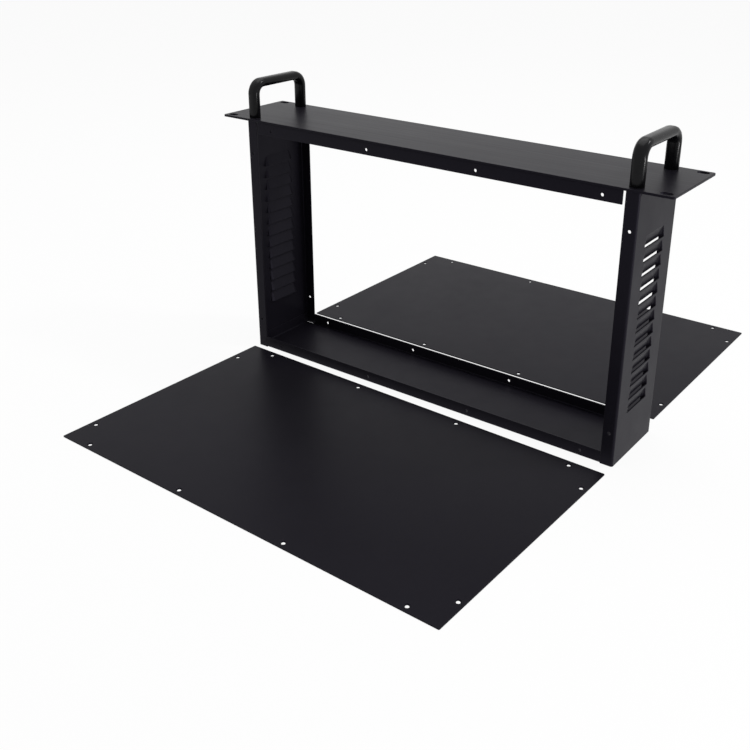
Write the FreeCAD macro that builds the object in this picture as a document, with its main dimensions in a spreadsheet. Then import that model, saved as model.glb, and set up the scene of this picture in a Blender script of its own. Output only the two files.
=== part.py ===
import FreeCAD, Part
import math
import os
import Sketcher
from FreeCAD import Vector

# Rack chassis, two units high, folded from sheet steel, laid out with its two covers off.
#
# The frame stands on its rear wall with the front panel on top, so +Z points out of the rack.
# The origin is the middle of the rear wall's outer face, which is also the surface that
# everything lies on. X runs along the panel, -Y is the side that the top cover closes.

# Driving sizes, in millimetres and degrees: name, value, what it is.
SIZES = [
    ("ear", 29.3, "how far the panel runs past the frame's side: 482.6 over all, the 19 inch rack width"),
    ("panel_lap", 4.05, "how far the panel stands past the flanges: 88.1 across, for two rack units"),
    ("panel_sheet", 2.0, "front panel thickness"),
    ("panel_corner", 2.0, "front panel corner radius"),
    ("panel_bevel", 0.3, "broken edge round the panel's outer face"),
    ("slot_inset_x", 8.75, "rack slots, centre in from the panel's end: 465.1 apart"),
    ("slot_inset_y", 5.95, "rack slots, centre in from the panel's long edge: 76.2 apart"),
    ("slot_length", 10.5, "rack slot, end to end"),
    ("slot_width", 6.8, "rack slot, across"),
    ("body_width", 424.0, "frame, outside to outside of the side walls"),
    ("body_height", 80.0, "frame, outside to outside of the flanges"),
    ("depth", 250.0, "back of the rear wall to the back of the front panel"),
    ("sheet", 1.2, "frame sheet thickness"),
    ("bend", 0.8, "inside radius of every fold"),
    ("flange", 12.0, "flange width on the side and rear walls"),
    ("rail_flange", 13.0, "flange width on the front rail"),
    ("rail_gap", 2.4, "gap between the front rail's end and the side wall's flange"),
    ("seam", 0.2, "gap at a welded seam"),
    ("relief", 1.5, "notch beside a fold that ends inside a sheet"),
    ("weld_tab", 12.0, "height of the rear wall's end tabs"),
    ("louvre_count", 13, "louvres in each side wall"),
    ("louvre_pitch", 12.7, "louvres, open edge to open edge"),
    ("louvre_start", 45.0, "open edge of the first louvre, from the back of the rear wall"),
    ("louvre_length", 40.0, "louvre's open edge, end to end"),
    ("louvre_height", 10.5, "louvre, from its open edge to where it meets the wall"),
    ("louvre_depth", 3.4, "how far the open edge is pressed in"),
    ("louvre_run_out", 0.2, "how deep the hollow still is where the louvre meets the wall"),
    ("cover_sheet", 1.0, "cover thickness"),
    ("cover_gap", 2.0, "clearance between a fitted cover and the front panel"),
    ("cover_corner", 1.0, "cover corner radius"),
    ("edge_to_screw", 6.0, "cover screws, in from the nearest edge"),
    ("corner_to_screw", 32.0, "first cover screw, along from the corner"),
    ("screws_per_edge", 4, "cover screws along each long edge"),
    ("cover_hole", 3.2, "clearance hole at the back of a cover"),
    ("cover_countersink", 45.0, "slope of the countersink, from the screw's axis"),
    ("flange_hole", 3.0, "tapped hole in a flange"),
    ("handle_inset", 5.7, "centre of a handle's leg, in from the frame's outside faces"),
    ("handle_height", 38.0, "top of the handle above the panel"),
    ("handle_bend", 11.0, "bend radius on the handle's centreline"),
    ("grip_width", 12.6, "handle section, along the panel"),
    ("grip_thickness", 8.8, "handle section, the thin way"),
    ("screw_shank", 4.0, "handle screw diameter"),
    ("screw_clearance", 0.5, "how much wider its clearance holes are"),
    ("screw_reach", 10.0, "how far it threads into a leg"),
    ("screw_head", 7.0, "its head's diameter"),
    ("screw_head_height", 2.6, "its head's height"),
    ("screw_socket", 3.0, "hexagon socket in the head, across flats"),
    ("screw_socket_depth", 1.4, "depth of that socket"),
    ("tapping_spare", 2.0, "depth of the tapped hole past the screw's tip"),
    ("top_cover_gap", 11.3, "top cover, from the frame to its near long edge as laid down"),
    ("top_cover_shift", -1.7, "top cover, how far along X it lies"),
    ("top_cover_turn", -1.0, "top cover, how far askew it lies"),
    ("bottom_cover_gap", 22.4, "bottom cover, from the frame to its near long edge as laid down"),
    ("bottom_cover_shift", -5.5, "bottom cover, how far along X it lies"),
    ("bottom_cover_turn", 0.0, "bottom cover, how far askew it lies"),
]

# Lengths that several pieces share, as expressions in those sizes.
HALF_WIDTH = "sizes.body_width / 2"
HALF_HEIGHT = "sizes.body_height / 2"
COVER_LENGTH = "(sizes.depth - sizes.cover_gap)"
SCREW_PITCH = "(sizes.body_width - 2 * sizes.corner_to_screw) / (sizes.screws_per_edge - 1)"
HANDLE_X = "(sizes.body_width / 2 - sizes.handle_inset)"
HANDLE_Y = "(sizes.body_height / 2 - sizes.handle_inset)"
PANEL_HALF_X = "(sizes.body_width / 2 + sizes.ear)"
PANEL_HALF_Y = "(sizes.body_height / 2 + sizes.panel_lap)"
OUTER_BEND = "sizes.bend + sizes.sheet"
SCREW_HOLE = "sizes.screw_shank + sizes.screw_clearance"

ALONG_X, ALONG_Y, ALONG_Z = Vector(1, 0, 0), Vector(0, 1, 0), Vector(0, 0, 1)
LOUVRE_FACETS = 2  # flats in the quarter turn at each corner of a louvre
GRIP_FACETS = 6  # flats in the half turn on each narrow side of a handle's section
NEAR = 1e-4  # how close two numbers are taken as the same

doc = FreeCAD.newDocument("RackChassis")


def make_sheet():
    """Put the driving sizes in a spreadsheet, one alias to a cell."""
    table = doc.addObject("Spreadsheet::Sheet", "sizes")
    for row, (name, value, note) in enumerate(SIZES, start=1):
        table.set(f"A{row}", name)
        table.set(f"B{row}", str(value))
        table.set(f"C{row}", note)
        table.setAlias(f"B{row}", name)
    doc.recompute()
    return table


sizes = make_sheet()


def value(expression):
    """Work out an expression in the sheet's sizes, as a plain number."""
    return float(sizes.evalExpression(expression))


# ---------------------------------------------------------------- sketches and features

def new_body(label):
    body = doc.addObject("PartDesign::Body", label)
    body.Label = label
    return body


def new_sketch(body, plane, name):
    """Start a sketch on one of the body's own origin planes."""
    sketch = body.newObject("Sketcher::SketchObject", name)
    support = next(item for item in body.Origin.OriginFeatures if item.Role == plane)
    sketch.AttachmentSupport = [(support, "")]
    sketch.MapMode = "FlatFace"
    return sketch


def bind(sketch, kind, *parts):
    """Add a dimension whose value is an expression: the last of parts."""
    *places, expression = parts
    index = sketch.addConstraint(Sketcher.Constraint(kind, *places, value(expression)))
    sketch.setExpression(f"Constraints[{index}]", expression)


def place_point(sketch, line, end, x, y):
    bind(sketch, "DistanceX", line, end, x)
    bind(sketch, "DistanceY", line, end, y)


def draw_outline(sketch, corners):
    """Draw a closed outline of straight lines through corners given as expressions."""
    points = [Vector(value(x), value(y), 0) for x, y in corners]
    first = sketch.GeometryCount
    for start, end in zip(points, points[1:] + points[:1]):
        sketch.addGeometry(Part.LineSegment(start, end))
    for step, (x, y) in enumerate(corners):
        before = first + (step - 1) % len(corners)
        sketch.addConstraint(Sketcher.Constraint("Coincident", before, 2, first + step, 1))
        place_point(sketch, first + step, 1, x, y)


def draw_rectangle(sketch, x_low, x_high, y_low, y_high):
    draw_outline(sketch, [(x_low, y_low), (x_high, y_low), (x_high, y_high), (x_low, y_high)])


def draw_circle(sketch, x, y, diameter):
    centre = Vector(value(x), value(y), 0)
    circle = sketch.addGeometry(Part.Circle(centre, ALONG_Z, value(diameter) / 2))
    place_point(sketch, circle, 3, x, y)
    bind(sketch, "Diameter", circle, diameter)


def draw_slot(sketch, x, y, length, width):
    """Draw a slot with round ends along the sketch's X, about the point (x, y)."""
    middle = Vector(value(x), value(y), 0)
    radius = value(width) / 2
    reach = Vector((value(length) - value(width)) / 2, 0, 0)
    side = Vector(0, radius, 0)
    quarter = math.pi / 2
    left = Part.Circle(middle - reach, ALONG_Z, radius)
    right = Part.Circle(middle + reach, ALONG_Z, radius)
    first = sketch.GeometryCount
    sketch.addGeometry(Part.ArcOfCircle(left, quarter, 3 * quarter))
    sketch.addGeometry(Part.LineSegment(middle - reach - side, middle + reach - side))
    sketch.addGeometry(Part.ArcOfCircle(right, -quarter, quarter))
    sketch.addGeometry(Part.LineSegment(middle + reach + side, middle - reach + side))
    for step in range(4):
        after = first + (step + 1) % 4
        sketch.addConstraint(Sketcher.Constraint("Tangent", first + step, 2, after, 1))
    place_point(sketch, first, 3, f"{x} - ({length} - {width}) / 2", y)
    place_point(sketch, first + 2, 3, f"{x} + ({length} - {width}) / 2", y)
    bind(sketch, "Diameter", first, width)


def pad(body, sketch, length, centred=False):
    feature = body.newObject("PartDesign::Pad", sketch.Name + "_pad")
    feature.Profile = sketch
    feature.setExpression("Length", length)
    feature.Midplane = centred
    sketch.Visibility = False
    doc.recompute()


def cut(body, sketch, depth=None, slope=None):
    """Cut the sketch out of the body: right through it, or upwards to a depth, widening at a slope."""
    before = body.Shape.Volume
    feature = body.newObject("PartDesign::Pocket", sketch.Name + "_cut")
    feature.Profile = sketch
    if depth is None:
        feature.Type = "ThroughAll"
        feature.Midplane = True
    else:
        feature.setExpression("Length", depth)
        feature.Reversed = True
    if slope is not None:
        feature.setExpression("TaperAngle", slope)
    sketch.Visibility = False
    doc.recompute()
    if body.Shape.Volume >= before:
        raise RuntimeError(f"{feature.Name} cuts nothing")
    return feature


def repeat(body, features, axis, pitch, count):
    """Repeat features along one of the body's own axes."""
    pattern = body.newObject("PartDesign::LinearPattern", features[0].Name + "_row")
    pattern.Originals = features
    line = next(item for item in body.Origin.OriginFeatures if item.Role == axis)
    pattern.Direction = (line, [""])
    pattern.setExpression("Length", f"{pitch} * ({count} - 1)")
    pattern.setExpression("Occurrences", count)
    body.Tip = pattern
    doc.recompute()


def straight_edges(shape, along, x=None, y=None, z=None):
    """Name the straight edges that run along a direction through the stated coordinates."""
    names = []
    for number, edge in enumerate(shape.Edges, start=1):
        if edge.Curve.TypeId != "Part::GeomLine" or edge.Curve.Direction.cross(along).Length > NEAR:
            continue
        middle = edge.CenterOfMass
        wanted = ((x, middle.x), (y, middle.y), (z, middle.z))
        if all(want is None or any(abs(one - got) < NEAR for one in want) for want, got in wanted):
            names.append(f"Edge{number}")
    return names


def dress(body, kind, edges, size_name, expression):
    """Round or bevel the named edges of the body's last feature."""
    if not edges:
        raise RuntimeError(f"no edges to dress on {body.Label}")
    base = body.Tip
    feature = body.newObject(kind, f"{body.Name}_{size_name.lower()}")
    feature.Base = (base, edges)
    feature.setExpression(size_name, expression)
    body.Tip = feature
    doc.recompute()


def fold(body, outer, inner):
    """Turn the sharp corners of a folded sheet into bends of one inside radius."""
    dress(body, "PartDesign::Fillet", outer(body.Shape), "Radius", OUTER_BEND)
    dress(body, "PartDesign::Fillet", inner(body.Shape), "Radius", "sizes.bend")


# ---------------------------------------------------------------- the frame

def make_side_wall(label, side):
    """Side wall: a channel open to the inside, with a tab folded in under the front panel."""
    body = new_body(label)
    outside = f"{side} * {HALF_WIDTH}"
    inside = f"{side} * ({HALF_WIDTH} - sizes.sheet)"
    lip = f"{side} * ({HALF_WIDTH} - sizes.flange)"
    inner_y = f"({HALF_HEIGHT} - sizes.sheet)"

    channel = new_sketch(body, "XY_Plane", f"{label}_channel")
    draw_outline(channel, [
        (outside, f"-1 * {HALF_HEIGHT}"), (outside, HALF_HEIGHT),
        (lip, HALF_HEIGHT), (lip, inner_y),
        (inside, inner_y), (inside, f"-1 * {inner_y}"),
        (lip, f"-1 * {inner_y}"), (lip, f"-1 * {HALF_HEIGHT}"),
    ])
    pad(body, channel, "sizes.depth")
    half_height = value(HALF_HEIGHT)
    fold(
        body,
        lambda shape: straight_edges(shape, ALONG_Z, [value(outside)], [half_height, -half_height]),
        lambda shape: straight_edges(shape, ALONG_Z, [value(inside)], [value(inner_y), -value(inner_y)]),
    )

    # Front tab, which the handle screws clamp to the panel, with a notch at each end of its fold.
    tab_half = f"({inner_y} - sizes.bend - sizes.relief)"
    tab_under = "sizes.depth - sizes.sheet"
    tab = new_sketch(body, "XZ_Plane", f"{label}_tab")
    draw_outline(tab, [
        (outside, tab_under), (outside, "sizes.depth"), (lip, "sizes.depth"), (lip, tab_under),
    ])
    pad(body, tab, f"2 * {tab_half}", centred=True)
    notches = new_sketch(body, "YZ_Plane", f"{label}_notches")
    notch_foot = f"{tab_under} - sizes.bend - sizes.relief"
    notch_far = f"({tab_half} + sizes.relief)"
    for end in ("1", "-1"):
        draw_rectangle(
            notches, f"{end} * {tab_half}", f"{end} * {notch_far}", notch_foot, "sizes.depth + sizes.relief"
        )
    cut(body, notches)
    fold(
        body,
        lambda shape: straight_edges(shape, ALONG_Y, [value(outside)], [0], [value("sizes.depth")]),
        lambda shape: straight_edges(shape, ALONG_Y, [value(inside)], [0], [value(tab_under)]),
    )

    press_louvres(body, label, side)

    # Cover screws through both flanges, and handle screws through the tab.
    screws = new_sketch(body, "XZ_Plane", f"{label}_cover_screws")
    for height in ("sizes.corner_to_screw", f"{COVER_LENGTH} - sizes.corner_to_screw"):
        draw_circle(screws, f"{side} * ({HALF_WIDTH} - sizes.edge_to_screw)", height, "sizes.flange_hole")
    cut(body, screws)
    handle_holes = new_sketch(body, "XY_Plane", f"{label}_handle_screws")
    for end in ("1", "-1"):
        draw_circle(handle_holes, f"{side} * {HANDLE_X}", f"{end} * {HANDLE_Y}", SCREW_HOLE)
    cut(body, handle_holes)
    return body


def press_louvres(body, label, side):
    """Press a column of louvres into the wall: sloping hoods with faceted ends, open towards the rear.

    Each is a solid hood added inside the wall, less a like hollow that leaves one sheet of it.
    """
    hood = loft_louvre(
        body, "PartDesign::AdditiveLoft", f"{label}_hood", side,
        "sizes.louvre_depth + sizes.sheet", "sizes.sheet",
    )
    hollow = loft_louvre(
        body, "PartDesign::SubtractiveLoft", f"{label}_hollow", side,
        "sizes.louvre_depth", "sizes.louvre_run_out",
    )
    repeat(body, [hood, hollow], "Z_Axis", "sizes.louvre_pitch", "sizes.louvre_count")


def loft_louvre(body, kind, name, side, foot_depth, crest_depth):
    """Loft one louvre's form between its outline at the open edge and the one where it meets the wall."""
    inward = "1" if side == "-1" else "-1"
    straight = "(sizes.louvre_length / 2 - sizes.louvre_depth)"
    outlines = []
    for place, depth, height in (("foot", foot_depth, "0"), ("crest", crest_depth, "sizes.louvre_height")):
        sketch = new_sketch(body, "XY_Plane", f"{name}_{place}")
        sketch.setExpression("AttachmentOffset.Base.z", f"sizes.louvre_start + {height}")
        corners = []
        for end, turns in (("1", range(LOUVRE_FACETS + 1)), ("-1", range(LOUVRE_FACETS, -1, -1))):
            for turn in turns:
                angle = math.pi / 2 * turn / LOUVRE_FACETS
                corners.append((
                    f"{side} * {HALF_WIDTH} + {inward} * {math.sin(angle):.6f} * ({depth})",
                    f"{end} * ({straight} + {math.cos(angle):.6f} * ({depth}))",
                ))
        draw_outline(sketch, corners)
        sketch.Visibility = False
        outlines.append(sketch)
    loft = body.newObject(kind, name)
    loft.Profile = outlines[0]
    loft.Sections = [outlines[1]]
    loft.Ruled = True
    doc.recompute()
    return loft


def make_rear_wall():
    """Rear wall: a channel between the side walls' flanges, with a weld tab up each side wall."""
    body = new_body("rear_wall")
    half_length = f"({HALF_WIDTH} - sizes.flange - sizes.seam)"
    inner_y = f"({HALF_HEIGHT} - sizes.sheet)"

    channel = new_sketch(body, "YZ_Plane", "rear_wall_channel")
    draw_outline(channel, [
        (f"-1 * {HALF_HEIGHT}", "0"), (HALF_HEIGHT, "0"),
        (HALF_HEIGHT, "sizes.flange"), (inner_y, "sizes.flange"),
        (inner_y, "sizes.sheet"), (f"-1 * {inner_y}", "sizes.sheet"),
        (f"-1 * {inner_y}", "sizes.flange"), (f"-1 * {HALF_HEIGHT}", "sizes.flange"),
    ])
    pad(body, channel, f"2 * {half_length}", centred=True)
    half_height = value(HALF_HEIGHT)
    fold(
        body,
        lambda shape: straight_edges(shape, ALONG_X, None, [half_height, -half_height], [0]),
        lambda shape: straight_edges(
            shape, ALONG_X, None, [value(inner_y), -value(inner_y)], [value("sizes.sheet")]),
    )

    # The web runs on between the side walls' bends and turns up as a tab at each end.
    tab_outside = f"({HALF_WIDTH} - sizes.sheet)"
    tab_inside = f"({HALF_WIDTH} - 2 * sizes.sheet)"
    ends = new_sketch(body, "XZ_Plane", "rear_wall_ends")
    draw_outline(ends, [
        (f"-1 * {tab_outside}", "0"), (tab_outside, "0"),
        (tab_outside, "sizes.weld_tab"), (tab_inside, "sizes.weld_tab"),
        (tab_inside, "sizes.sheet"), (f"-1 * {tab_inside}", "sizes.sheet"),
        (f"-1 * {tab_inside}", "sizes.weld_tab"), (f"-1 * {tab_outside}", "sizes.weld_tab"),
    ])
    pad(body, ends, f"2 * ({inner_y} - sizes.bend - sizes.relief)", centred=True)
    out_x, in_x = value(tab_outside), value(tab_inside)
    fold(
        body,
        lambda shape: straight_edges(shape, ALONG_Y, [out_x, -out_x], [0], [0]),
        lambda shape: straight_edges(shape, ALONG_Y, [in_x, -in_x], [0], [value("sizes.sheet")]),
    )
    drill_flanges(body, "rear_wall", "sizes.edge_to_screw")
    return body


def make_front_rail():
    """Front rail: a channel welded to the back of the panel, between the side walls' flanges."""
    body = new_body("front_rail")
    inner_y = f"({HALF_HEIGHT} - sizes.sheet)"
    web = "sizes.depth - sizes.sheet"
    lip = "sizes.depth - sizes.rail_flange"
    channel = new_sketch(body, "YZ_Plane", "front_rail_channel")
    draw_outline(channel, [
        (f"-1 * {HALF_HEIGHT}", "sizes.depth"), (HALF_HEIGHT, "sizes.depth"),
        (HALF_HEIGHT, lip), (inner_y, lip),
        (inner_y, web), (f"-1 * {inner_y}", web),
        (f"-1 * {inner_y}", lip), (f"-1 * {HALF_HEIGHT}", lip),
    ])
    pad(body, channel, f"2 * ({HALF_WIDTH} - sizes.flange - sizes.rail_gap)", centred=True)
    half_height = value(HALF_HEIGHT)
    fold(
        body,
        lambda shape: straight_edges(
            shape, ALONG_X, None, [half_height, -half_height], [value("sizes.depth")]),
        lambda shape: straight_edges(
            shape, ALONG_X, None, [value(inner_y), -value(inner_y)], [value(web)]),
    )
    drill_flanges(body, "front_rail", f"{COVER_LENGTH} - sizes.edge_to_screw")
    return body


def drill_flanges(body, name, height):
    """Drill the row of cover screws through both flanges of a channel that runs along X."""
    screw = new_sketch(body, "XZ_Plane", f"{name}_cover_screw")
    draw_circle(screw, f"sizes.corner_to_screw - {HALF_WIDTH}", height, "sizes.flange_hole")
    repeat(body, [cut(body, screw)], "X_Axis", SCREW_PITCH, "sizes.screws_per_edge")


# ---------------------------------------------------------------- the front panel

def make_front_panel():
    """Front panel: a flat plate with its ears, rack slots and handle screw holes."""
    body = new_body("front_panel")
    plate = new_sketch(body, "XY_Plane", "front_panel_plate")
    draw_rectangle(plate, f"-1 * {PANEL_HALF_X}", PANEL_HALF_X, f"-1 * {PANEL_HALF_Y}", PANEL_HALF_Y)
    pad(body, plate, "sizes.panel_sheet")
    dress(body, "PartDesign::Fillet", straight_edges(body.Shape, ALONG_Z), "Radius", "sizes.panel_corner")
    dress(
        body, "PartDesign::Chamfer",
        straight_edges(body.Shape, ALONG_X, z=[value("sizes.panel_sheet")])
        + straight_edges(body.Shape, ALONG_Y, z=[value("sizes.panel_sheet")]),
        "Size", "sizes.panel_bevel",
    )
    holes = new_sketch(body, "XY_Plane", "front_panel_holes")
    for end_x in ("1", "-1"):
        for end_y in ("1", "-1"):
            draw_slot(
                holes, f"{end_x} * ({PANEL_HALF_X} - sizes.slot_inset_x)",
                f"{end_y} * ({PANEL_HALF_Y} - sizes.slot_inset_y)", "sizes.slot_length", "sizes.slot_width",
            )
            draw_circle(holes, f"{end_x} * {HANDLE_X}", f"{end_y} * {HANDLE_Y}", SCREW_HOLE)
    cut(body, holes)
    body.setExpression("Placement.Base.z", "sizes.depth")
    return body


def draw_grip(sketch, x, y):
    """Draw the handle's section: flat on its two wide sides, with its narrow sides rounded in facets."""
    flat = "(sizes.grip_width - sizes.grip_thickness) / 2"
    corners = []
    for end, start in (("1", -math.pi / 2), ("-1", math.pi / 2)):
        for turn in range(GRIP_FACETS + 1):
            angle = start + math.pi * turn / GRIP_FACETS
            corners.append((
                f"{x} + {end} * {flat} + {math.cos(angle):.6f} * sizes.grip_thickness / 2",
                f"{y} + {math.sin(angle):.6f} * sizes.grip_thickness / 2",
            ))
    draw_outline(sketch, corners)


def make_handle(label, side):
    """Handle: a flat oval bar bent into a U, tapped up each leg for its screw."""
    body = new_body(label)
    path = new_sketch(body, "YZ_Plane", f"{label}_path")
    top = "(sizes.handle_height - sizes.grip_thickness / 2)"
    leg, rise, reach = value(HANDLE_Y), value(top), value("sizes.handle_bend")
    centres = [Vector(reach - leg, rise - reach, 0), Vector(leg - reach, rise - reach, 0)]
    bends = [Part.Circle(centre, ALONG_Z, reach) for centre in centres]
    quarter = math.pi / 2
    path.addGeometry(Part.LineSegment(Vector(-leg, 0, 0), Vector(-leg, rise - reach, 0)))
    path.addGeometry(Part.ArcOfCircle(bends[0], quarter, 2 * quarter))
    path.addGeometry(Part.LineSegment(Vector(reach - leg, rise, 0), Vector(leg - reach, rise, 0)))
    path.addGeometry(Part.ArcOfCircle(bends[1], 0, quarter))
    path.addGeometry(Part.LineSegment(Vector(leg, rise - reach, 0), Vector(leg, 0, 0)))
    for joint in ((0, 2, 1, 2), (1, 1, 2, 1), (2, 2, 3, 2), (3, 1, 4, 1)):
        path.addConstraint(Sketcher.Constraint("Tangent", *joint))
    place_point(path, 0, 1, f"-1 * {HANDLE_Y}", "0")
    place_point(path, 4, 2, HANDLE_Y, "0")
    path.addConstraint(Sketcher.Constraint("Vertical", 0))
    path.addConstraint(Sketcher.Constraint("Vertical", 4))
    bind(path, "Radius", 1, "sizes.handle_bend")
    bind(path, "Radius", 3, "sizes.handle_bend")
    bind(path, "DistanceY", 2, 1, top)

    section = new_sketch(body, "XY_Plane", f"{label}_section")
    draw_grip(section, "0", f"-1 * {HANDLE_Y}")
    doc.recompute()

    sweep = body.newObject("PartDesign::AdditivePipe", f"{label}_bar")
    sweep.Profile = section
    sweep.Spine = (path, [f"Edge{number}" for number in range(1, 6)])
    doc.recompute()

    taps = new_sketch(body, "XY_Plane", f"{label}_taps")
    for end in ("1", "-1"):
        draw_circle(taps, "0", f"{end} * {HANDLE_Y}", "sizes.screw_shank")
    cut(body, taps, "sizes.screw_reach + sizes.tapping_spare")
    body.setExpression("Placement.Base.x", f"{side} * {HANDLE_X}")
    body.setExpression("Placement.Base.z", "sizes.depth + sizes.panel_sheet")
    return body


def make_handle_screws():
    """Handle screws: four socket cap screws, put in from behind, as one group."""
    tab_under = "sizes.depth - sizes.sheet"
    screws = []
    for end_x in ("1", "-1"):
        for end_y in ("1", "-1"):
            number = len(screws) + 1
            head = doc.addObject("Part::Cylinder", f"screw_{number}_head")
            head.setExpression("Radius", "sizes.screw_head / 2")
            head.setExpression("Height", "sizes.screw_head_height")
            shank = doc.addObject("Part::Cylinder", f"screw_{number}_shank")
            shank.setExpression("Radius", "sizes.screw_shank / 2")
            shank.setExpression("Height", "sizes.sheet + sizes.panel_sheet + sizes.screw_reach")
            socket = doc.addObject("Part::Prism", f"screw_{number}_socket")
            socket.Polygon = 6
            socket.setExpression("Circumradius", "sizes.screw_socket / sqrt(3)")
            socket.setExpression("Height", "sizes.screw_socket_depth")
            for piece in (head, shank, socket):
                piece.setExpression("Placement.Base.x", f"{end_x} * {HANDLE_X}")
                piece.setExpression("Placement.Base.y", f"{end_y} * {HANDLE_Y}")
            shank.setExpression("Placement.Base.z", tab_under)
            for piece in (head, socket):
                piece.setExpression("Placement.Base.z", f"{tab_under} - sizes.screw_head_height")
            blank = doc.addObject("Part::Fuse", f"screw_{number}_blank")
            blank.Base, blank.Tool = head, shank
            screw = doc.addObject("Part::Cut", f"screw_{number}")
            screw.Base, screw.Tool = blank, socket
            screws.append(screw)
    group = doc.addObject("Part::Compound", "handle_screws")
    group.Label = "handle_screws"
    group.Links = screws
    return group


# ---------------------------------------------------------------- the covers

def make_cover(label, side):
    """Cover: a flat sheet, countersunk for its screws, lying beside the frame as laid down."""
    body = new_body(label)
    half_x, half_y = HALF_WIDTH, f"({COVER_LENGTH} / 2)"
    plate = new_sketch(body, "XY_Plane", f"{label}_plate")
    draw_rectangle(plate, f"-1 * {half_x}", half_x, f"-1 * {half_y}", half_y)
    pad(body, plate, "sizes.cover_sheet")
    dress(body, "PartDesign::Fillet", straight_edges(body.Shape, ALONG_Z), "Radius", "sizes.cover_corner")

    # Holes that widen from the back of the sheet to its face, for countersunk screws.
    countersink = ("sizes.cover_sheet", "sizes.cover_countersink")
    for end, place in (("1", "back"), ("-1", "front")):
        row = new_sketch(body, "XY_Plane", f"{label}_{place}_screw")
        draw_circle(
            row, f"sizes.corner_to_screw - {half_x}", f"{end} * ({half_y} - sizes.edge_to_screw)",
            "sizes.cover_hole",
        )
        repeat(body, [cut(body, row, *countersink)], "X_Axis", SCREW_PITCH, "sizes.screws_per_edge")
    ends = new_sketch(body, "XY_Plane", f"{label}_end_screws")
    for end_x in ("1", "-1"):
        for end_y in ("1", "-1"):
            draw_circle(
                ends, f"{end_x} * ({half_x} - sizes.edge_to_screw)",
                f"{end_y} * ({half_y} - sizes.corner_to_screw)", "sizes.cover_hole",
            )
    cut(body, ends, *countersink)

    middle = f"({HALF_HEIGHT} + sizes.{label}_gap + {half_y})"
    body.setExpression("Placement.Base.x", f"sizes.{label}_shift")
    body.setExpression("Placement.Base.y", f"{side} * {middle}")
    body.setExpression("Placement.Rotation.Angle", f"sizes.{label}_turn")
    return body


# ---------------------------------------------------------------- build, check and write

def failed_objects():
    doc.recompute()
    return [item.Name for item in doc.Objects if "Invalid" in item.State or "Error" in item.State]


def main():
    pieces = [
        make_front_panel(),
        make_front_rail(),
        make_side_wall("side_wall_left", "-1"),
        make_side_wall("side_wall_right", "1"),
        make_rear_wall(),
        make_handle("handle_left", "-1"),
        make_handle("handle_right", "1"),
        make_handle_screws(),
        make_cover("top_cover", "-1"),
        make_cover("bottom_cover", "1"),
    ]
    failed = failed_objects()
    if failed:
        raise RuntimeError("did not rebuild: " + ", ".join(failed))
    for piece in pieces:
        if piece.Shape.isNull() or not piece.Shape.isValid():
            raise RuntimeError(f"{piece.Label} has no valid shape")
    os.makedirs("parts", exist_ok=True)
    for piece in pieces:
        piece.Shape.exportStep(f"parts/{piece.Label}.step")
        print(f"{piece.Label}: {len(piece.Shape.Solids)} solid, {piece.Shape.Volume:.1f} mm3")


main()
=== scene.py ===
import math

import bpy
from mathutils import Matrix, Vector


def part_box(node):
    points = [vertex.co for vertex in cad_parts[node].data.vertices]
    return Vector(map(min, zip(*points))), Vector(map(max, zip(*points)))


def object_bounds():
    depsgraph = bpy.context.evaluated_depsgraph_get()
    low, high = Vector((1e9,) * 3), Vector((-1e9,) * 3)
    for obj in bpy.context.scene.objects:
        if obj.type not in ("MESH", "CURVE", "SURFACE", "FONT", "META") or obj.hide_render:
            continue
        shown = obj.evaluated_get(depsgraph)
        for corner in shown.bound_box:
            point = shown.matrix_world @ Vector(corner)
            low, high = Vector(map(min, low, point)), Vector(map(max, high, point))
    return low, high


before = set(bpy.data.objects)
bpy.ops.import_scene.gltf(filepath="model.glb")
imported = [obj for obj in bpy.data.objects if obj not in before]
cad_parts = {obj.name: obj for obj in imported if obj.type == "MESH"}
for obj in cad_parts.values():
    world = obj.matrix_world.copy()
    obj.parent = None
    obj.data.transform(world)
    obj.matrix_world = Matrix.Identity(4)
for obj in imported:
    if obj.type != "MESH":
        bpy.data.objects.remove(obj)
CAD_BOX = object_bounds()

# Looks of the rack chassis: its black finishes, the studio round it and the camera.
# Lengths are in metres and lamps' powers in watts.

MM = 0.001

# How round an edge looks in each finish.
EDGE_ROUND = 0.35 * MM
WALL_ROUND = 0.9 * MM
HANDLE_ROUND = 0.3 * MM
SCREW_ROUND = 0.2 * MM

BLACK = (0.0055, 0.0049, 0.0074, 1.0)
RUBBED = (0.020, 0.019, 0.023, 1.0)
JET = (0.0024, 0.0024, 0.0028, 1.0)
OXIDE = (0.02, 0.02, 0.022, 1.0)
BARE_STEEL = (0.09, 0.09, 0.095, 1.0)
SHEEN_TINT = (0.80, 0.75, 1.0, 1.0)
WHITE = (1.0, 1.0, 1.0, 1.0)
FLOOR_PAINT = (0.9, 0.9, 0.9, 1.0)

# The frame's powder coat has coarser, deeper pebbles and a stronger sheen than the covers'.
FRAME_COAT = {"roughness": 0.42, "pebble": 0.9 * MM, "pebble_depth": 0.03 * MM, "specular": 0.09}
COVER_COAT = {"roughness": 0.38, "pebble": 0.7 * MM, "pebble_depth": 0.02 * MM, "specular": 0.07}

# Softboxes: name, place, length of a side and power.
SOFTBOXES = [
    ("overhead_lamp", (-0.3, 0.3, 1.8), 1.4, 13.0),
    ("side_lamp", (1.2, 0.8, 1.75), 0.26, 13.0),
    ("strip_lamp", (1.1, -0.16, 0.10), 0.14, 4.5),
]
AIR_LIGHT = 0.5
WHITE_LIGHT = 1.0
FLOOR_GLOW = 0.92  # share of the white light in how the floor shows: the rest keeps the shadow
FLOOR_REACH = 9.0
FLOOR_GAP = 0.02 * MM

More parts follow.
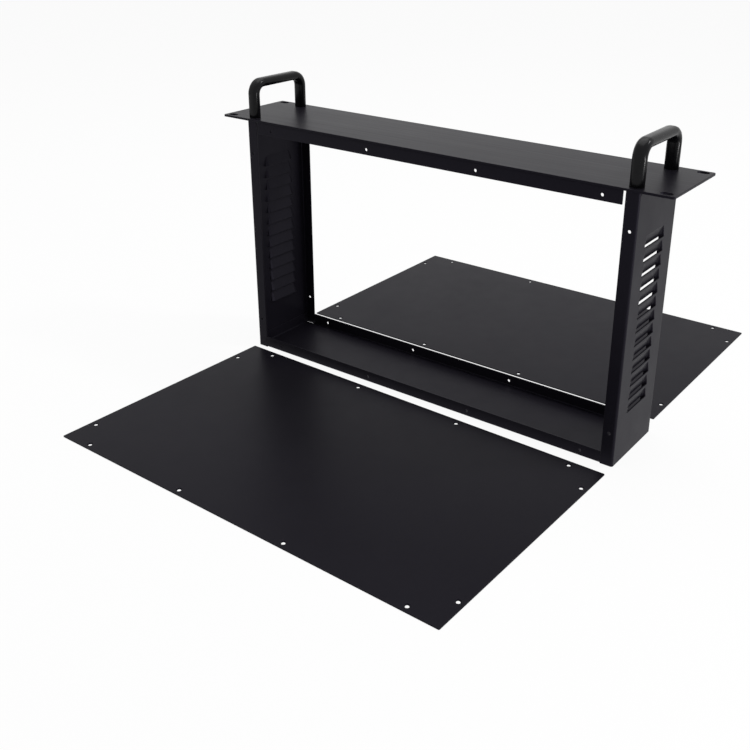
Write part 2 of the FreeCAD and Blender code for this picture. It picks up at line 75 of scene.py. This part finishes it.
CAMERA_PLACE = (0.5077, -0.7591, 0.4715)
CAMERA_TURN = math.radians(36.32)
CAMERA_TILT = math.radians(-23.30)
CAMERA_ROLL = math.radians(0.31)
CAMERA_ANGLE = math.radians(41.015)
CAMERA_SENSOR = 36.0
CAMERA_SHIFT_X = -0.0318
CAMERA_SHIFT_Y = -0.0829
CAMERA_SIGHT = 50.0


# ---------------------------------------------------------------- shader nodes

class Wire:
    """One output socket of a node. Arithmetic on it adds the Math nodes."""

    def __init__(self, nodes, socket):
        self.nodes = nodes
        self.socket = socket

    def math(self, operation, first, second, clamp=False):
        settings = {"operation": operation, "use_clamp": clamp}
        return self.nodes.add("ShaderNodeMath", settings, {0: first, 1: second})

    def __add__(self, other):
        return self.math("ADD", self, other)

    def __radd__(self, other):
        return self.math("ADD", other, self)

    def __sub__(self, other):
        return self.math("SUBTRACT", self, other)

    def __rsub__(self, other):
        return self.math("SUBTRACT", other, self)

    def __mul__(self, other):
        return self.math("MULTIPLY", self, other)

    def __rmul__(self, other):
        return self.math("MULTIPLY", other, self)

    def clamped(self):
        return self.math("ADD", self, 0.0, clamp=True)


class Nodes:
    """The node tree of one material or of the world."""

    def __init__(self, tree):
        self.tree = tree
        tree.nodes.clear()

    def add(self, kind, settings=None, sockets=None, output=0):
        """Add a node, with its settings first and then its sockets' values or links."""
        node = self.tree.nodes.new(kind)
        for name, setting in (settings or {}).items():
            if name == "stops":
                fill_ramp(node.color_ramp, setting)
            else:
                setattr(node, name, setting)
        for name, value in (sockets or {}).items():
            if isinstance(value, Wire):
                self.tree.links.new(value.socket, node.inputs[name])
            else:
                node.inputs[name].default_value = value
        return Wire(self, node.outputs[output]) if node.outputs else None

    def noise(self, size, detail=2.0, drawn_out=1.0):
        """Noise whose cells are about this size, and so many times as long along X."""
        place = self.add("ShaderNodeTexCoord", output="Object")
        scale = (1.0 / drawn_out, 1.0, 1.0)
        place = self.add("ShaderNodeMapping", None, {"Vector": place, "Scale": scale})
        sockets = {"Vector": place, "Scale": 1.0 / size, "Detail": detail}
        return self.add("ShaderNodeTexNoise", None, sockets)

    def ramp(self, factor, *stops):
        """Numbers that run between the stops (place, number)."""
        greys = [(place, (number, number, number, 1.0)) for place, number in stops]
        return self.add("ShaderNodeValToRGB", {"stops": greys}, {"Fac": factor})

    def blend(self, factor, first, second):
        """Mix two colours."""
        settings = {"data_type": "RGBA", "clamp_factor": True}
        return self.add("ShaderNodeMix", settings, {0: factor, 6: first, 7: second}, output=2)

    def round_edge(self, radius):
        """The surface's normal, turned as if its edges had this radius."""
        return self.add("ShaderNodeBevel", {"samples": 6}, {"Radius": radius})

    def near_edge(self, round_edge):
        """How near a point is to an edge: the further its normal is turned, the nearer."""
        flat = self.add("ShaderNodeNewGeometry", output="Normal")
        settings = {"operation": "DOT_PRODUCT"}
        level = self.add("ShaderNodeVectorMath", settings, {0: round_edge, 1: flat}, output="Value")
        return self.ramp(1.0 - level, (0.0, 0.0), (0.25, 1.0))

    def relief(self, height, strength, depth, normal):
        """Lay a fine relief over a normal."""
        sockets = {"Strength": strength, "Distance": depth, "Height": height, "Normal": normal}
        return self.add("ShaderNodeBump", None, sockets)


def fill_ramp(ramp, stops):
    while len(ramp.elements) < len(stops):
        ramp.elements.new(1.0)
    for element, (place, colour) in zip(ramp.elements, stops):
        element.position = place
        element.color = colour


def vary(level, *patterns):
    """A level that each (swing, pattern) moves both ways, by half its swing at most."""
    for swing, pattern in patterns:
        level = level + swing * (pattern - 0.5)
    return level


def start_material(name):
    material = bpy.data.materials.new(name)
    material.use_nodes = True
    return material, Nodes(material.node_tree)


def finish_material(nodes, sockets):
    shader = nodes.add("ShaderNodeBsdfPrincipled", None, sockets)
    nodes.add("ShaderNodeOutputMaterial", None, {"Surface": shader})


# ---------------------------------------------------------------- finishes

def powder_coat(name, edge, roughness, pebble, pebble_depth, specular):
    """Satin black powder coat: fine pebbles, a cloudy sheen and slightly rubbed edges."""
    material, nodes = start_material(name)
    pebbles = nodes.noise(pebble, detail=3.0)
    clouds = nodes.noise(70 * MM, detail=4.0)
    smudges = nodes.noise(18 * MM, detail=5.0)
    round_edge = nodes.round_edge(edge)
    rub = nodes.near_edge(round_edge) * (smudges * 0.6 + 0.1)
    finish_material(nodes, {
        "Base Color": nodes.blend(rub, BLACK, RUBBED),
        "Roughness": vary(roughness, (0.10, clouds), (0.08, smudges), (0.05, pebbles)),
        "Specular IOR Level": specular,
        "Specular Tint": SHEEN_TINT,
        "Normal": nodes.relief(pebbles, strength=0.5, depth=pebble_depth, normal=round_edge),
    })
    return material


def brushed_panel():
    """Black anodised panel, brushed along its length."""
    material, nodes = start_material("brushed_black")
    hairlines = nodes.noise(0.35 * MM, detail=3.0, drawn_out=300.0)
    bands = nodes.noise(2.5 * MM, detail=2.0, drawn_out=120.0)
    clouds = nodes.noise(90 * MM, detail=3.0)
    round_edge = nodes.round_edge(EDGE_ROUND)
    rub = nodes.near_edge(round_edge) * 0.5 + hairlines * 0.12
    brushing = hairlines * 0.7 + bands * 0.3
    finish_material(nodes, {
        "Base Color": nodes.blend(rub, BLACK, RUBBED),
        "Roughness": vary(0.36, (0.16, hairlines), (0.10, bands), (0.06, clouds)),
        "Specular IOR Level": 0.07,
        "Specular Tint": SHEEN_TINT,
        "Normal": nodes.relief(brushing, strength=0.35, depth=0.02 * MM, normal=round_edge),
    })
    return material


def polished_handle():
    """Handles: smooth black, with faint rubbing from hands."""
    material, nodes = start_material("handle_black")
    grain = nodes.noise(0.5 * MM, detail=2.0)
    rubbing = nodes.noise(9 * MM, detail=4.0)
    round_edge = nodes.round_edge(HANDLE_ROUND)
    finish_material(nodes, {
        "Base Color": nodes.blend(rubbing * 0.15, JET, RUBBED),
        "Roughness": vary(0.24, (0.04, rubbing), (0.02, grain)),
        "Specular IOR Level": 0.13,
        "Normal": nodes.relief(grain, strength=0.1, depth=0.005 * MM, normal=round_edge),
    })
    return material


def black_oxide():
    """Handle screws: blackened steel with a fine turned grain."""
    material, nodes = start_material("black_oxide")
    grain = nodes.noise(0.25 * MM, detail=3.0)
    patches = nodes.noise(2 * MM, detail=3.0)
    round_edge = nodes.round_edge(SCREW_ROUND)
    rub = nodes.near_edge(round_edge) * 0.7 + patches * 0.3
    finish_material(nodes, {
        "Base Color": nodes.blend(rub, OXIDE, BARE_STEEL),
        "Roughness": vary(0.34, (0.14, patches), (0.06, grain)),
        "Metallic": 0.9,
        "Normal": nodes.relief(grain, strength=0.3, depth=0.01 * MM, normal=round_edge),
    })
    return material


def smooth_bar(name):
    """Shade a handle's faceted bar as one smooth round."""
    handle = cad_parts[name]
    weld = handle.modifiers.new("join_facets", "WELD")
    weld.merge_threshold = 0.001 * MM
    soften = handle.modifiers.new("smooth_facets", "WEIGHTED_NORMAL")
    soften.mode = "FACE_AREA"
    soften.keep_sharp = False


def dress(names, material):
    """Give the named pieces one finish."""
    for name in names:
        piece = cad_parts[name]
        piece.data.materials.clear()
        piece.data.materials.append(material)


def dress_chassis():
    dress(["front_panel"], brushed_panel())
    dress(["front_rail", "rear_wall"], powder_coat("frame_black", EDGE_ROUND, **FRAME_COAT))
    dress(["side_wall_left", "side_wall_right"], powder_coat("louvred_black", WALL_ROUND, **FRAME_COAT))
    dress(["top_cover", "bottom_cover"], powder_coat("cover_black", EDGE_ROUND, **COVER_COAT))
    handles = ["handle_left", "handle_right"]
    dress(handles, polished_handle())
    for name in handles:
        smooth_bar(name)
    dress(["handle_screws"], black_oxide())


# ---------------------------------------------------------------- studio

def show_white(nodes):
    """A mask of the rays that see the white background: straight, mirrored and through glass."""
    rays = ["Is Camera Ray", "Is Glossy Ray", "Is Transmission Ray"]
    camera, glossy, through = (nodes.add("ShaderNodeLightPath", output=ray) for ray in rays)
    return (camera + glossy + through).clamped()


def make_world():
    """Even grey light all round, which shows as white."""
    world = bpy.data.worlds.new("studio_air")
    bpy.context.scene.world = world
    world.use_nodes = True
    nodes = Nodes(world.node_tree)
    light = nodes.add("ShaderNodeBackground", None, {"Color": WHITE, "Strength": AIR_LIGHT})
    white = nodes.add("ShaderNodeBackground", None, {"Color": WHITE, "Strength": WHITE_LIGHT})
    air = nodes.add("ShaderNodeMixShader", None, {0: show_white(nodes), 1: light, 2: white})
    nodes.add("ShaderNodeOutputWorld", None, {"Surface": air})


def make_floor():
    """A plain white floor that keeps a soft shadow."""
    level = CAD_BOX[0][2] - FLOOR_GAP
    quarters = ((-1, -1), (1, -1), (1, 1), (-1, 1))
    corners = [(x * FLOOR_REACH, y * FLOOR_REACH, level) for x, y in quarters]
    mesh = bpy.data.meshes.new("floor")
    mesh.from_pydata(corners, [], [(0, 1, 2, 3)])
    floor = bpy.data.objects.new("floor", mesh)
    bpy.context.scene.collection.objects.link(floor)
    material, nodes = start_material("floor_white")
    matt = nodes.add("ShaderNodeBsdfDiffuse", None, {"Color": FLOOR_PAINT})
    white = nodes.add("ShaderNodeEmission", None, {"Color": WHITE, "Strength": WHITE_LIGHT})
    glow = FLOOR_GLOW * show_white(nodes)
    surface = nodes.add("ShaderNodeMixShader", None, {0: glow, 1: matt, 2: white})
    nodes.add("ShaderNodeOutputMaterial", None, {"Surface": surface})
    mesh.materials.append(material)


def add_softbox(name, place, side, power, target):
    """A square soft lamp that faces a point."""
    lamp = bpy.data.lights.new(name, "AREA")
    lamp.shape = "SQUARE"
    lamp.size = side
    lamp.energy = power
    softbox = bpy.data.objects.new(name, lamp)
    softbox.location = place
    softbox.visible_camera = False
    softbox.rotation_euler = (Vector(place) - target).to_track_quat("Z", "Y").to_euler()
    bpy.context.scene.collection.objects.link(softbox)


def light_studio():
    """Point every lamp at the middle of the frame."""
    low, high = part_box("front_panel")
    middle = Vector(((low.x + high.x) / 2, (low.y + high.y) / 2, low.z / 2))
    for name, place, side, power in SOFTBOXES:
        add_softbox(name, place, side, power, middle)


def aim_camera():
    """Stand off the right-hand front corner and look down at the frame."""
    data = bpy.data.cameras.new("camera")
    data.sensor_width = CAMERA_SENSOR
    data.angle = CAMERA_ANGLE
    data.shift_x = CAMERA_SHIFT_X
    data.shift_y = CAMERA_SHIFT_Y
    data.clip_end = CAMERA_SIGHT
    camera = bpy.data.objects.new("camera", data)
    turn = Matrix.Rotation(CAMERA_TURN, 4, "Z")
    tilt = Matrix.Rotation(math.pi / 2 + CAMERA_TILT, 4, "X")
    roll = Matrix.Rotation(CAMERA_ROLL, 4, "Z")
    camera.matrix_world = Matrix.Translation(CAMERA_PLACE) @ turn @ tilt @ roll
    bpy.context.scene.collection.objects.link(camera)
    bpy.context.scene.camera = camera


# ---------------------------------------------------------------- the scene

def main():
    dress_chassis()
    make_world()
    make_floor()
    light_studio()
    aim_camera()
    bpy.context.scene.view_settings.view_transform = "Standard"


main()
